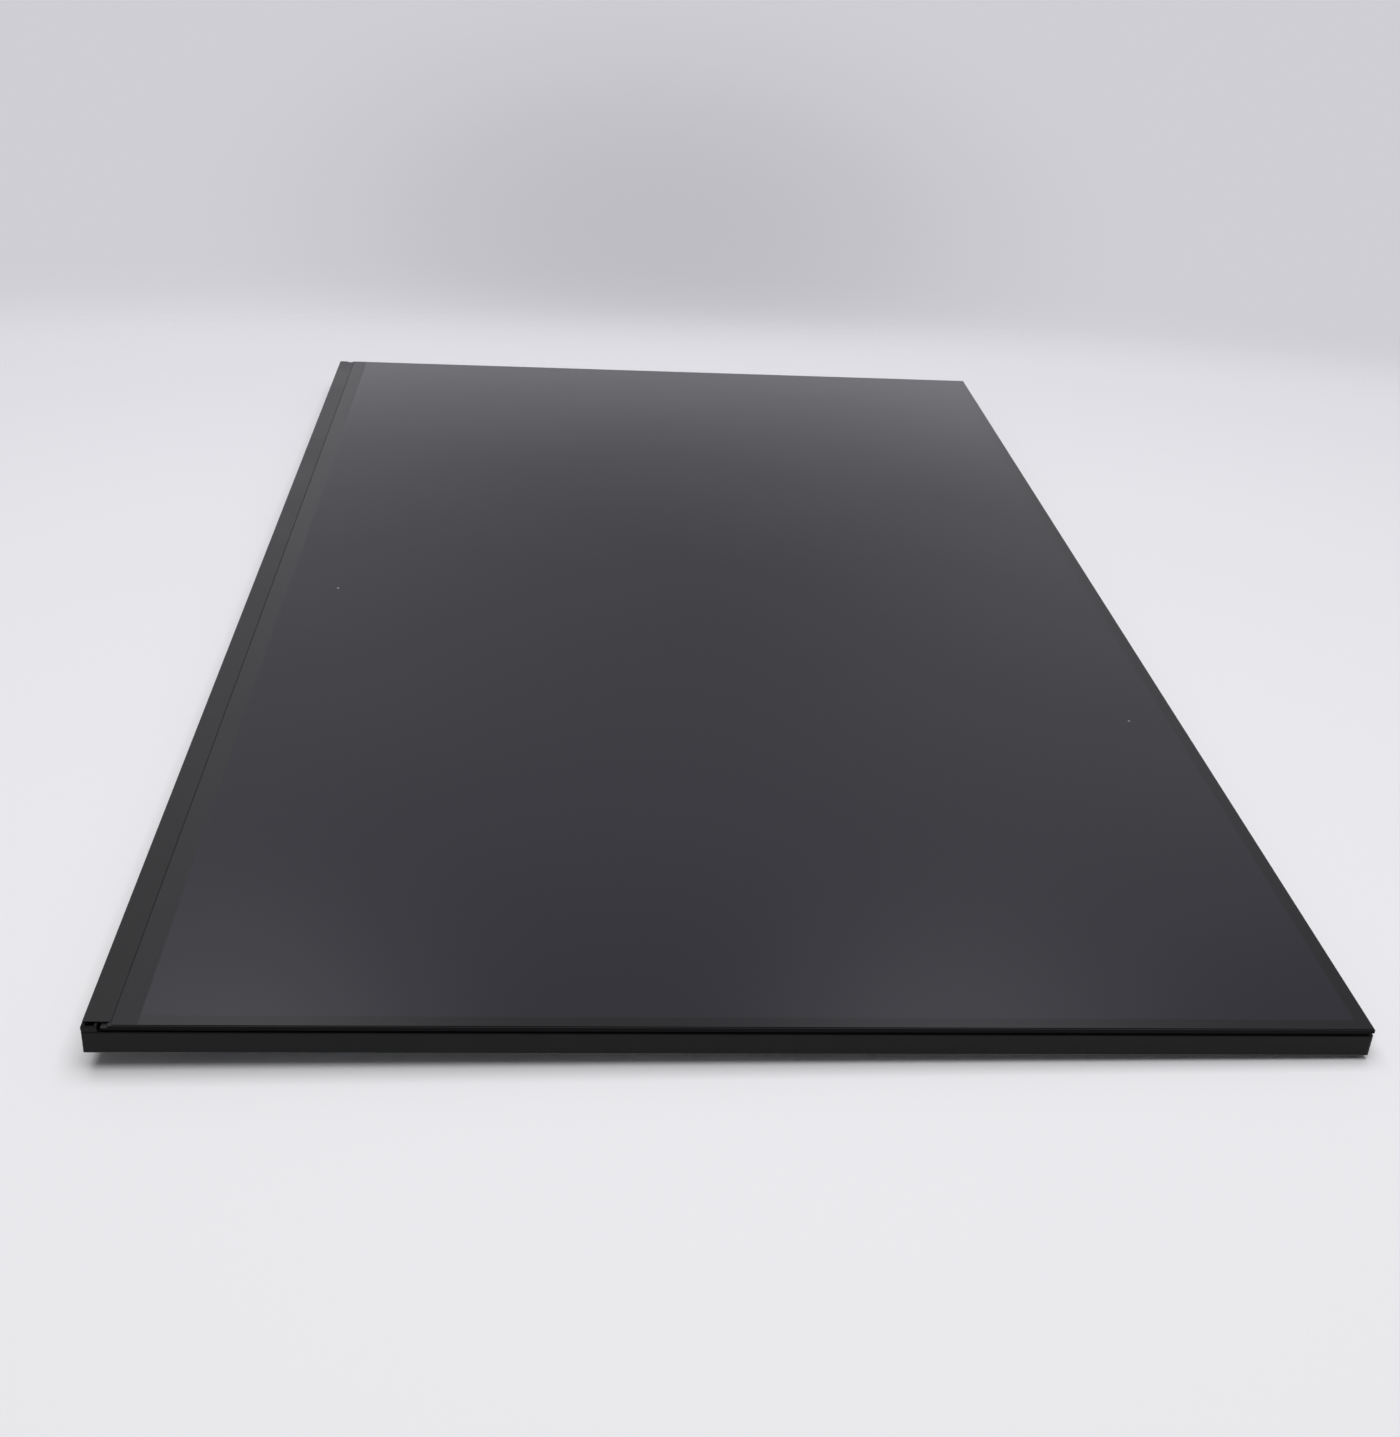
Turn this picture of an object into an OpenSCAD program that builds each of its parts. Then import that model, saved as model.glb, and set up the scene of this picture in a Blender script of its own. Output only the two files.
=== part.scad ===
// Bare touchscreen display module, lying on its back with the screen up.
// X runs along the long side, Y runs up the picture and Z points out of the screen, in millimetres.
// The driver films leave the glass on the -Y side, called the foot here, under a matte cover strip.
// Distances in from the foot are named _u and distances in from the other three edges _v.

/* [Picture] */
// Width of the lit picture
active_w = 527.04; // [500:0.01:560]
// Height of the lit picture
active_h = 296.46; // [280:0.01:320]
// Black border on the left, the right and the top
side_border = 3.98; // [3.7:0.01:6]
// Black border at the foot
foot_border = 13; // [12.6:0.1:18]

/* [Glass cell] */
// Thickness of each of the two panes
pane_t = 0.5; // [0.4:0.05:0.7]
// Thickness of each polariser
polariser_t = 0.2; // [0.15:0.05:0.3]
// Distance of the panes from the outline on three sides
pane_inset = 0.15; // [0.1:0.05:0.4]
// Width of the contact ledge, where the rear pane reaches past the front one
contact_w = 1.6; // [1.3:0.1:2.4]
// Bare rim of the front pane around its polariser
bare_rim = 0.3; // [0.2:0.05:0.6]
// Bare rim of the front pane at the foot
bare_foot = 0.9; // [0.6:0.1:1.4]
// Slit between the mould frame and the rear pane at the foot
slit_w = 0.8; // [0.5:0.1:1.2]
// Distance of the cover strip from the two ends of the foot
strip_end = 1.7; // [1:0.1:4]

/* [Light sheets] */
// Thickness of the light guide plate
guide_t = 3; // [2.6:0.1:4]
// Thickness of the white reflector
reflector_t = 0.25; // [0.15:0.05:0.4]
// Thickness of each diffuser sheet
diffuser_t = 0.3; // [0.2:0.05:0.4]
// Thickness of each prism sheet
prism_t = 0.25; // [0.15:0.05:0.35]
// Free height between the top sheet and the mould frame's ledge
sheet_room = 0.45; // [0.25:0.05:0.8]
// Gap between the sheets' edges and the steel chassis
sheet_gap = 0.5; // [0.3:0.05:0.9]
// Length of the notches in the guide plate's short sides
notch_l = 12; // [8:0.5:20]
// Depth of the notches in the guide plate's short sides
notch_d = 3.5; // [2.5:0.5:6]
// Distance between the two notches of a short side
notch_pitch = 140; // [100:5:180]
// Width of the sheets' locating ears
ear_w = 12; // [8:0.5:20]
// Distance between the two locating ears
ear_pitch = 216; // [190:2:240]

/* [Mould frame] */
// Thickness of the outer walls
frame_wall = 1.2; // [1:0.05:1.4]
// Thickness of the ledge that carries the glass
ledge_t = 1; // [0.8:0.1:1.4]
// Height of the frame's lower edge above the chassis's rear face
frame_lift = 0.3; // [0.2:0.05:0.6]
// Thickness of the thin outer skirt at the foot
skirt_t = 0.9; // [0.7:0.05:1.2]
// Width of the channel in which the driver films run down
channel_w = 2.1; // [2:0.1:2.8]
// Thickness of the rib between the channel and the glass
rib_t = 0.7; // [0.5:0.1:1]
// Thickness of the same rib lower down, beside the chassis
rib_foot_t = 1.05; // [0.9:0.05:1.3]
// Plan radius of the frame's two upper corners
corner_r = 1; // [0.5:0.1:1.1]
// Chamfer along the frame's lower outer edges
edge_chamfer = 0.4; // [0.2:0.1:0.6]
// Thickness of the foam tape under the glass
foam_t = 0.8; // [0.5:0.1:1.2]
// Width of the foam tape
foam_w = 2.1; // [1.6:0.1:2.2]
// Distance of the foam tape from the outline on three sides
foam_inset = 0.9; // [0.7:0.1:1]

/* [Steel chassis] */
// Thickness of the steel
steel_t = 0.6; // [0.5:0.05:0.8]
// Inside radius of the bends
bend_r = 0.2; // [0.1:0.05:0.5]
// Gap between the chassis and the mould frame
chassis_gap = 0.15; // [0.1:0.05:0.2]
// Width of the stiffening beads
bead_w = 10; // [8:0.5:14]
// Depth of the stiffening beads
bead_h = 1; // [0.6:0.1:1.2]
// Horizontal run of a bead's sloping side
bead_run = 1.4; // [0.8:0.1:2]
// Middle-line radius of the bead ring's corners
bead_corner_r = 18; // [12:1:30]
// Distance of the bead ring from the top edge
ring_v = 24; // [18:1:40]
// Distance of the bead ring from the two short edges
ring_side_v = 28; // [22:1:50]
// Distance of the two upright beads from the middle
cross_x = 96; // [60:1:130]
// Length of the beads beside the control board
side_bead_l = 124; // [80:1:130]
// Height of the bosses that carry boards and shield
boss_h = 1; // [0.8:0.1:1.3]
// Radius of a boss at its seat
boss_r = 3.6; // [3.2:0.1:4]
// Horizontal distance between the mounting bosses
mount_pitch_x = 320; // [280:1:360]
// Vertical distance between the mounting bosses
mount_pitch_y = 150; // [130:1:160]
// Height of the mounting pattern's middle above the module's middle
mount_y = 30; // [25:1:35]
// Radius of the threaded mounting holes
mount_hole_r = 1.25; // [1:0.05:1.6]
// Outer radius of the extruded mounting collars
collar_r = 2.6; // [2.3:0.1:3.2]
// Height of the extruded mounting collars
collar_h = 1.5; // [1:0.1:2]

/* [Light bar] */
// Thickness of the aluminium heat spreader
spreader_t = 0.8; // [0.6:0.1:1]
// Width of the heat spreader's foot
spreader_w = 17; // [15:0.5:19]
// Thickness of the thermal tape
thermal_t = 0.15; // [0.1:0.05:0.25]
// Thickness of the light bar's board
bar_t = 1; // [0.6:0.1:1.2]
// Height of the light bar's board
bar_h = 3.4; // [3:0.1:3.8]
// Distance of the bar's ends from the short edges
bar_end = 7.5; // [6:0.5:12]
// Length of a light-emitting package
led_w = 7; // [5:0.5:8]
// Height of a light-emitting package
led_h = 2; // [1.4:0.1:2.2]
// Depth of a light-emitting package
led_t = 0.8; // [0.5:0.1:1]
// Distance from package to package
led_pitch = 10; // [9:0.5:14]
// Gap between the packages and the guide plate
led_gap = 0.2; // [0.1:0.05:0.4]

/* [Boards] */
// Thickness of the circuit boards
board_t = 1; // [0.8:0.1:1.2]
// Room for components between a board and the shield
part_room = 1.6; // [1.5:0.1:2.2]
// Gap between the two source boards
source_gap = 38; // [20:1:44]
// Depth of each source board
source_d = 13; // [12:0.5:13.5]
// Length of the control board
control_l = 150; // [145:1:160]
// Depth of the control board
control_d = 34; // [32:1:38]
// Gap between the control board and its shield
shield_gap = 2.4; // [1.5:0.1:3]
// Thickness of the shield's sheet
shield_t = 0.4; // [0.3:0.05:0.5]
// Width of a driver film
film_w = 38; // [30:1:42]
// Thickness of a driver film
film_t = 0.12; // [0.08:0.01:0.2]
// Distance from driver film to driver film
film_pitch = 88; // [84:0.5:92]
// Width of the cables that link the boards
link_w = 22; // [16:1:26]
// Width of the backlight's flexible tail
tail_w = 9; // [6:0.5:10]

/* [Hidden] */
$fn = 48;

// Overlap of a cutting tool past the face it cuts
cut = 0.5;
// Clearance of a piece that slips into another
slip = 0.1;

// Outline of the module
module_w = active_w + 2 * side_border;
module_h = active_h + side_border + foot_border;
half_w = module_w / 2;
half_h = module_h / 2;

// Heights, from the shield's outer face up to the screen
board_z = shield_t + part_room;
board_top = board_z + board_t;
rear_z = board_top + boss_h;
floor_z = rear_z + steel_t;
step_h = spreader_t;
step_rear = rear_z - step_h;
step_floor = floor_z - step_h;
pad_h = 0.2;
source_z = step_rear - pad_h - board_t;
guide_z = floor_z + reflector_t;
guide_top = guide_z + guide_t;
diffuser_top = guide_top + diffuser_t;
prism_top = diffuser_top + prism_t;
prisms_top = prism_top + prism_t;
sheets_top = prisms_top + diffuser_t;
ledge_z = sheets_top + sheet_room;
ledge_top = ledge_z + ledge_t;
pane_z = ledge_top + foam_t;
front_z = pane_z + pane_t;
face_z = front_z + pane_t;
frame_z = rear_z + frame_lift;
flange_top = ledge_z - slip;

// Distances in from the foot
channel_u = skirt_t + channel_w;
rib_u = channel_u + rib_t;
pane_u = rib_u + slit_w;
front_u = pane_u + contact_w;
polariser_u = front_u + bare_foot;
strip_inset = 0.1;
strip_u = polariser_u - 0.3;
rib_foot_u = channel_u + rib_foot_t;
flange_u = rib_foot_u + chassis_gap;
spreader_u = flange_u + steel_t;
bar_u = spreader_u + spreader_t + thermal_t;
led_u = bar_u + bar_t;
guide_u = led_u + led_t + led_gap;
step_u = spreader_u + spreader_w + 0.3;
joggle_run = 1.2;
floor_u = step_u + joggle_run;
foam_u = pane_u + 0.5;
ledge_w = foam_inset + foam_w + 0.2;
sight = 0.7;
sight_u = foot_border - 2 * sight;

// Distances in from the other three edges
flange_v = frame_wall + chassis_gap;
flange_in_v = flange_v + steel_t;
floor_v = flange_v + bend_r + steel_t;
sheet_v = flange_in_v + sheet_gap;
relief = 5;

// Mould frame details
slot_w = film_w + 2;
beam_skin = 1;
pocket_rim = 0.45;
pocket_l = 6;
pocket_d = 3;
core_wall = 0.9;
core_l = 11;
snap_w = 6;
snap_h = 4;
snap_d = 0.5;
snap_z = (frame_z + ledge_z) / 2;
snap_pitch_x = 72;
snap_pitch_y = 62;
snap_x = [for (i = [-3:3]) i * snap_pitch_x];
snap_y = [for (i = [-1.5:1.5]) i * snap_pitch_y];

// Chassis details
dimple_h = 0.35;
dimple_r = 1.8;
boss_flare = 1;
hole_r = 1.25;
pad_r = 3.4;
bead_in = steel_t * (sqrt(bead_run * bead_run + bead_h * bead_h) - bead_run) / bead_h;

// Light bar
bar_z = floor_z + slip / 2;
bar_half = half_w - bar_end;
tail_x = bar_half - 1 - tail_w / 2;
led_side = floor((tail_x - tail_w / 2 - led_w / 2 - 1) / led_pitch);
guide_mid = guide_z + guide_t / 2;
tail_t = 0.12;
tail_r = 0.6;
tail_end_u = led_u + 10.5;
tail_slot = 1.6;

// Driver films
film_u = skirt_t + 1.1;
film_top_r = 0.88;
film_low_r = 1.28;
source_end = tail_x - tail_w / 2 - 5;
film_out = source_end - 25;
side_film_x = [for (k = [2, 1, 0]) film_out - k * film_pitch];
film_x = concat([for (k = [0:2]) -side_film_x[2 - k]], side_film_x);
source_u = film_u + film_t + film_low_r + 1.6;
film_end_u = source_u + 2.4;
chip_l = 20;
chip_h = 1.3;
chip_t = 0.4;

// Boards, shield and their screws
source_l = source_end - source_gap / 2;
source_hole_u = source_u + 9.5;
side_hole_x = [for (k = [0, 1]) (side_film_x[k] + side_film_x[k + 1]) / 2];
source_hole_x = [for (s = [-1, 1], x = side_hole_x) s * x];
shield_u = floor_u + 1.9;
control_u = shield_u + shield_t + shield_gap;
control_end = control_u + control_d;
shield_end = control_end + shield_gap + shield_t;
shield_half = control_l / 2 + shield_gap + shield_t;
control_hole = 5;
control_holes = concat(
    [for (x = [-1, 1], u = [control_u + control_hole, control_end - control_hole])
        [x * (control_l / 2 - control_hole), u]],
    [[0, control_end - control_hole]]
);
tab_reach = 5.2;
tab_w = 9;
tab_hole_r = 1.6;
side_tabs = [for (x = [-1, 1], u = [shield_u + 9, shield_end - 9]) [x * (shield_half + tab_reach), u]];
top_tab = [0, shield_end + tab_reach];
shield_holes = concat(side_tabs, [top_tab]);
wall_end = rear_z - 0.6;
ring_u = top_tab[1] + boss_r + boss_flare + 5 + bead_w / 2;
side_bead_x = shield_half + tab_reach + boss_r + boss_flare + 10;
side_bead_u = [for (i = [0, 1]) control_u + 10 + 18 * i];
screw_r = hole_r - 0.05;
head_r = 2.6;
head_h = 0.9;
head_round = 0.4;

// Parts on the boards
cap_l = 1.6;
cap_d = 0.8;
cap_h = 0.8;
row_pitch = 2.7;
leg_pitch = 1.27;
leg_w = 0.4;
leaded_h = 1.1;
coil_w = 4.8;
timing_w = 14;
touch_w = 9;
timing_x = 6;
timing_u = control_u + 15;
touch_chip_x = control_l / 2 - 41;
left_x = 13 - control_l / 2;
right_x = control_l / 2 - 21;

// Sockets and cables
socket_l = link_w + 4;
socket_d = 4;
socket_h = 1.2;
link_t = 0.2;
link_grip = 2.6;
link_z = board_z - socket_h / 2;
source_socket_u = source_u + source_d - 1 - socket_d;
control_socket_u = control_u + 0.6;
link_x = control_l / 2 - 2 * control_hole - socket_l / 2;
display_l = 28;
display_d = 5.4;
display_x = 35 - control_l / 2;
touch_l = 10;
touch_x = control_l / 2 - 45;
edge_socket_u = control_end - display_d;

// Helpers
function foot_y(u) = u - half_h;
function top_y(v) = half_h - v;

// A flat layer between two heights
module slab(z, t) translate([0, 0, z]) linear_extrude(t) children();

// The module's rectangle, set in by u at the foot and by v on the other three sides
module field(u, v) translate([v - half_w, foot_y(u)]) square([module_w - 2 * v, module_h - u - v]);

// A rectangle from its middle in X and its lower edge in Y
module plate(w, d) translate([-w / 2, 0]) square([w, d]);

// A section drawn in Y and Z, drawn out along X around its middle
module along_x(l) rotate([90, 0, 90]) linear_extrude(l, center = true) children();

// A section drawn in X and Z, drawn out along Y around its middle
module along_y(l) rotate([90, 0, 0]) linear_extrude(l, center = true) children();

// A quarter of a bend, whose hollow side looks to +X and +Y
module quarter_bend(r, t) {
    intersection() {
        difference() {
            circle(r + t);
            circle(r);
        }
        translate([-r - t, -r - t]) square(r + t);
    }
}

// A rectangle with round corners
module round_plate(w, d, r) {
    difference() {
        plate(w, d);
        for (x = [0, 1], y = [0, 1])
            mirror([x, 0]) translate([w / 2, y * d]) mirror([0, y]) difference() {
                translate([-r, -cut]) square([r + cut, r + cut]);
                translate([-r, r]) circle(r);
            }
    }
}

// A slot with round ends along Y
module slot(w, l) {
    square([w, l - w], center = true);
    for (y = [-1, 1]) translate([0, y * (l - w) / 2]) circle(w / 2);
}

// Steel chassis: its bends, beads and bosses
module flange_section(height) {
    translate([bend_r + steel_t, bend_r + steel_t]) quarter_bend(bend_r, steel_t);
    translate([0, bend_r + steel_t]) square([steel_t, height - bend_r - steel_t]);
}

module bead_section(w, run, h, rise) {
    polygon([[-w / 2 + run, -h], [w / 2 - run, -h], [w / 2, 0], [w / 2, rise], [-w / 2, rise], [-w / 2, 0]]);
}

// Half of a bead's section, for turning about its left edge moved to x
module bead_half(w, run, h, rise) {
    polygon([[0, -h], [w / 2 - run, -h], [w / 2, 0], [w / 2, rise], [0, rise]]);
}

// A straight bead along X with round ends. The inner one is the hollow on the other side of the sheet.
module straight_bead(l, inner) {
    w = inner ? bead_w - 2 * bead_in : bead_w;
    rise = inner ? cut : steel_t / 2;
    translate([0, 0, inner ? floor_z : rear_z]) {
        along_x(l) bead_section(w, bead_run, bead_h, rise);
        for (s = [0, 1]) mirror([s, 0, 0]) translate([l / 2, 0, 0]) rotate([0, 0, -90])
            rotate_extrude(angle = 180) bead_half(w, bead_run, bead_h, rise);
    }
}

module bead_ring(inner) {
    w = inner ? bead_w - 2 * bead_in : bead_w;
    rise = inner ? cut : steel_t / 2;
    ring_l = module_w - 2 * ring_side_v;
    ring_h = module_h - ring_u - ring_v;
    mid_y = (foot_y(ring_u) + top_y(ring_v)) / 2;
    translate([0, mid_y, inner ? floor_z : rear_z]) {
        for (s = [-1, 1]) {
            translate([0, s * ring_h / 2, 0])
                along_x(ring_l - 2 * bead_corner_r) bead_section(w, bead_run, bead_h, rise);
            translate([s * ring_l / 2, 0, 0])
                along_y(ring_h - 2 * bead_corner_r) bead_section(w, bead_run, bead_h, rise);
        }
        for (x = [0, 1], y = [0, 1]) mirror([x, 0, 0]) mirror([0, y, 0])
            translate([ring_l / 2 - bead_corner_r, ring_h / 2 - bead_corner_r, 0])
                rotate_extrude(angle = 90) translate([bead_corner_r, 0])
                    bead_section(w, bead_run, bead_h, rise);
    }
}

module beads(inner) {
    mid_y = (foot_y(ring_u) + top_y(ring_v)) / 2;
    bead_ring(inner);
    for (s = [-1, 1]) {
        translate([s * cross_x, mid_y, 0]) rotate([0, 0, 90])
            straight_bead(module_h - ring_u - ring_v, inner);
        for (u = side_bead_u)
            translate([s * (side_bead_x + side_bead_l / 2), foot_y(u), 0])
                straight_bead(side_bead_l - bead_w, inner);
    }
}

module boss(x, u, inner) {
    r = inner ? boss_r - steel_t : boss_r;
    rise = inner ? cut : steel_t / 2;
    z = inner ? floor_z : rear_z;
    translate([x, foot_y(u), z - boss_h]) cylinder(h = boss_h, r1 = r, r2 = r + boss_flare);
    translate([x, foot_y(u), z]) cylinder(h = rise, r = r + boss_flare);
}

module chassis_floor() {
    length = 2 * (half_w - floor_v);
    slab(rear_z, steel_t)
        translate([0, foot_y(floor_u)]) plate(length, module_h - floor_u - floor_v);
    translate([0, -half_h, 0]) along_x(length) polygon([
        [flange_u + bend_r + steel_t, step_rear], [step_u, step_rear],
        [floor_u, rear_z], [floor_u + 1, rear_z], [floor_u + 1, floor_z],
        [floor_u - slip, floor_z], [step_u - slip, step_floor],
        [flange_u + bend_r + steel_t, step_floor]
    ]);
}

module chassis_flanges() {
    side_l = module_h - floor_u - relief - 1;
    translate([0, foot_y(flange_u), step_rear])
        along_x(module_w - 2 * relief) flange_section(flange_top - step_rear);
    mirror([0, 1, 0]) translate([0, -top_y(flange_v), rear_z])
        along_x(module_w - 2 * relief) flange_section(flange_top - rear_z);
    for (s = [0, 1]) mirror([s, 0, 0])
        translate([flange_v - half_w, foot_y(floor_u + 1) + side_l / 2, rear_z])
            along_y(side_l) flange_section(flange_top - rear_z);
}

// Dimples that snap the flanges into the mould frame, or their hollows
module dimples(r, h) {
    for (x = snap_x) translate([x, top_y(flange_v), snap_z]) rotate([-90, 0, 0])
        cylinder(h = h, r1 = r, r2 = r - h);
    for (s = [-1, 1], y = snap_y) translate([s * (half_w - flange_v), y, snap_z]) rotate([0, s * 90, 0])
        cylinder(h = h, r1 = r, r2 = r - h);
}

module dimple_hollows() {
    for (x = snap_x) translate([x, top_y(flange_in_v + cut), snap_z]) rotate([-90, 0, 0])
        cylinder(h = cut + dimple_h, r = dimple_r - steel_t);
    for (s = [-1, 1], y = snap_y)
        translate([s * (half_w - flange_in_v - cut), y, snap_z]) rotate([0, s * 90, 0])
            cylinder(h = cut + dimple_h, r = dimple_r - steel_t);
}

module chassis_bosses(inner) {
    for (p = concat(control_holes, shield_holes)) boss(p[0], p[1], inner);
    for (x = source_hole_x)
        translate([x, foot_y(source_hole_u), inner ? step_floor - pad_h : step_rear - pad_h])
            cylinder(h = inner ? pad_h + cut : pad_h + steel_t / 2, r = inner ? pad_r - slip : pad_r);
}

module mount_places() {
    for (x = [-1, 1], y = [-1, 1])
        translate([x * mount_pitch_x / 2, mount_y + y * mount_pitch_y / 2, rear_z]) children();
}

module tail_slot_cut(z, t) {
    translate([tail_x - tail_w / 2 - 0.5, foot_y(led_u - 0.4), z - cut])
        cube([tail_w + 1, tail_slot, t + 2 * cut]);
}

module bottom_chassis() color("#9aa0a3") {
    difference() {
        union() {
            chassis_floor();
            chassis_flanges();
            beads(false);
            chassis_bosses(false);
            dimples(dimple_r, dimple_h);
            mount_places() translate([0, 0, -collar_h]) cylinder(h = collar_h + steel_t / 2, r = collar_r);
        }
        beads(true);
        chassis_bosses(true);
        dimple_hollows();
        mount_places() translate([0, 0, -collar_h - cut])
            cylinder(h = collar_h + steel_t + 2 * cut, r = mount_hole_r);
        for (p = concat(control_holes, shield_holes))
            translate([p[0], foot_y(p[1]), rear_z - boss_h - cut])
                cylinder(h = steel_t + 2 * cut, r = hole_r);
        for (x = source_hole_x)
            translate([x, foot_y(source_hole_u), step_rear - pad_h - cut])
                cylinder(h = steel_t + 2 * cut, r = hole_r);
        tail_slot_cut(step_rear, steel_t);
        for (s = [-1, 1]) translate([s * ear_pitch / 2 - ear_w / 2 - 1, top_y(flange_in_v + cut), guide_top - 0.3])
            cube([ear_w + 2, steel_t + 2 * cut, flange_top]);
    }
}

// Mould frame: walls, ledge and the deep beam at the foot
module frame_outline() {
    difference() {
        field(0, 0);
        for (s = [0, 1]) mirror([s, 0]) translate([half_w, half_h]) difference() {
            translate([-corner_r, -corner_r]) square(corner_r + cut);
            translate([-corner_r, -corner_r]) circle(corner_r);
        }
    }
}

// Triangular bars that take off the outer edge at height z, downwards or upwards
module edge_cuts(z, c, up) {
    flip = up ? -1 : 1;
    tri = [[-cut, -flip * cut], [c, -flip * cut], [c, 0], [0, flip * c], [-cut, flip * c]];
    for (s = [0, 1]) mirror([s, 0, 0]) translate([-half_w, 0, z])
        along_y(module_h + 2 * cut) polygon(tri);
    mirror([0, 1, 0]) translate([0, -half_h, z]) along_x(module_w + 2 * cut) polygon(tri);
}

// Hollows under the beam between two places, with thin walls between them
module core_row(x0, x1) {
    n = max(1, round((x1 - x0 - core_wall) / (core_l + core_wall)));
    l = (x1 - x0 - (n + 1) * core_wall) / n;
    for (i = [0:n - 1])
        translate([x0 + core_wall + i * (l + core_wall), foot_y(skirt_t), frame_z - cut])
            cube([l, channel_w, face_z - beam_skin - frame_z + cut]);
}

module film_slots() {
    for (x = film_x) translate([x, 0, 0]) {
        translate([-slot_w / 2, foot_y(skirt_t), frame_z - cut])
            cube([slot_w, channel_w, face_z - frame_z + 2 * cut]);
        translate([-slot_w / 2, foot_y(channel_u - cut), front_z - 0.2])
            cube([slot_w, rib_t + 2 * cut, pane_t + cut]);
    }
}

module mould_frame() color("#1c1d1f") {
    end_x = half_w - pocket_rim - pocket_l;
    difference() {
        union() {
            slab(frame_z, ledge_top - frame_z) difference() {
                frame_outline();
                field(rib_foot_u, frame_wall);
            }
            slab(ledge_z, ledge_t) difference() {
                frame_outline();
                field(sight_u, ledge_w);
            }
            slab(ledge_top - ledge_t / 2, face_z - ledge_top + ledge_t / 2)
                translate([0, -half_h]) plate(module_w, rib_u);
        }
        film_slots();
        for (i = [0:4]) core_row(film_x[i] + slot_w / 2, film_x[i + 1] - slot_w / 2);
        for (s = [0, 1]) mirror([s, 0, 0]) {
            core_row(film_x[5] + slot_w / 2, end_x);
            translate([end_x, foot_y(skirt_t), face_z - pocket_d])
                cube([pocket_l, channel_w, pocket_d + cut]);
        }
        for (x = snap_x)
            translate([x - snap_w / 2, top_y(frame_wall + cut), snap_z - snap_h / 2])
                cube([snap_w, cut + snap_d, snap_h]);
        for (s = [0, 1], y = snap_y) mirror([s, 0, 0])
            translate([half_w - frame_wall - cut, y - snap_w / 2, snap_z - snap_h / 2])
                cube([cut + snap_d, snap_w, snap_h]);
        edge_cuts(frame_z, edge_chamfer, false);
        edge_cuts(ledge_top, edge_chamfer / 2, true);
        translate([0, foot_y(0), frame_z]) along_x(module_w + 2 * cut)
            polygon([[-cut, -cut], [edge_chamfer, -cut], [edge_chamfer, 0], [0, edge_chamfer], [-cut, edge_chamfer]]);
    }
}

// Light guide plate, the sheets over and under it and the cushions in its notches
module notches(extra) {
    for (s = [0, 1], y = [-1, 1] * notch_pitch / 2) mirror([s, 0])
        translate([half_w - sheet_v - notch_d, y - notch_l / 2]) square([notch_d + extra, notch_l]);
}

module reflector_sheet() color("#f4f4f2") {
    slab(floor_z, reflector_t) difference() {
        field(guide_u, sheet_v);
        notches(cut);
    }
}

module light_guide_plate() color("#e8f2f4", 0.7) {
    slab(guide_z, guide_t) difference() {
        field(guide_u, sheet_v);
        notches(cut);
    }
}

module guide_plate_cushions() color("#d8d8d4") {
    length = notch_d + sheet_gap - slip;
    height = guide_top - floor_z - slip;
    for (s = [0, 1], y = [-1, 1] * notch_pitch / 2) mirror([s, 0, 0])
        translate([half_w - flange_in_v, y, floor_z]) difference() {
            along_y(notch_l - 2 * slip) polygon([
                [-length, 0], [-bend_r, 0], [0, bend_r], [0, height], [-length, height]
            ]);
            translate([-length / 2, 0, -cut]) cylinder(h = height + 2 * cut, r = notch_d / 4);
        }
}

// A thin sheet with two ears at the top edge, which hook into the chassis
module light_sheet(z, t) {
    slab(z, t) {
        field(guide_u + led_gap, sheet_v);
        for (s = [-1, 1]) translate([s * ear_pitch / 2, top_y(sheet_v + 1)])
            plate(ear_w, sheet_v + 1 - flange_v - slip);
    }
}

module lower_diffuser_sheet() color("#eef0ee") light_sheet(guide_top, diffuser_t);

module lower_prism_sheet() color("#dfe6e8") light_sheet(diffuser_top, prism_t);

module upper_prism_sheet() color("#d9e2e6") light_sheet(prism_top, prism_t);

module upper_diffuser_sheet() color("#f0f1ef") light_sheet(prisms_top, diffuser_t);

// Light bar along the foot
module led_heat_spreader() color("#c4c8ca") {
    inside = bend_r + 0.05;
    top = bar_z + bar_h + 0.4;
    difference() {
        translate([0, -half_h, 0]) along_x(2 * (half_w - relief)) polygon([
            [spreader_u + inside, step_floor], [spreader_u + spreader_w, step_floor],
            [spreader_u + spreader_w, floor_z], [spreader_u + spreader_t, floor_z],
            [spreader_u + spreader_t, top], [spreader_u, top], [spreader_u, step_floor + inside]
        ]);
        for (x = source_hole_x)
            translate([x, foot_y(source_hole_u), step_floor - cut])
                cylinder(h = spreader_t + 2 * cut, r = pad_r);
        tail_slot_cut(step_floor, spreader_t);
    }
}

module led_thermal_tape() color("#b9c2d0") {
    translate([-bar_half, foot_y(bar_u - thermal_t), bar_z]) cube([2 * bar_half, thermal_t, bar_h]);
}

module led_bar_board() color("#f2f2ee") {
    translate([-bar_half, foot_y(bar_u), bar_z]) cube([2 * bar_half, bar_t, bar_h]);
}

module led_packages() color("#f0e6a0") {
    for (i = [-led_side:led_side]) translate([i * led_pitch, foot_y(led_u), guide_mid]) difference() {
        translate([-led_w / 2, 0, -led_h / 2]) cube([led_w, led_t, led_h]);
        translate([0.4 - led_w / 2, led_t * 0.7, 0.3 - led_h / 2])
            cube([led_w - 0.8, led_t, led_h - 0.6]);
    }
}

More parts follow.
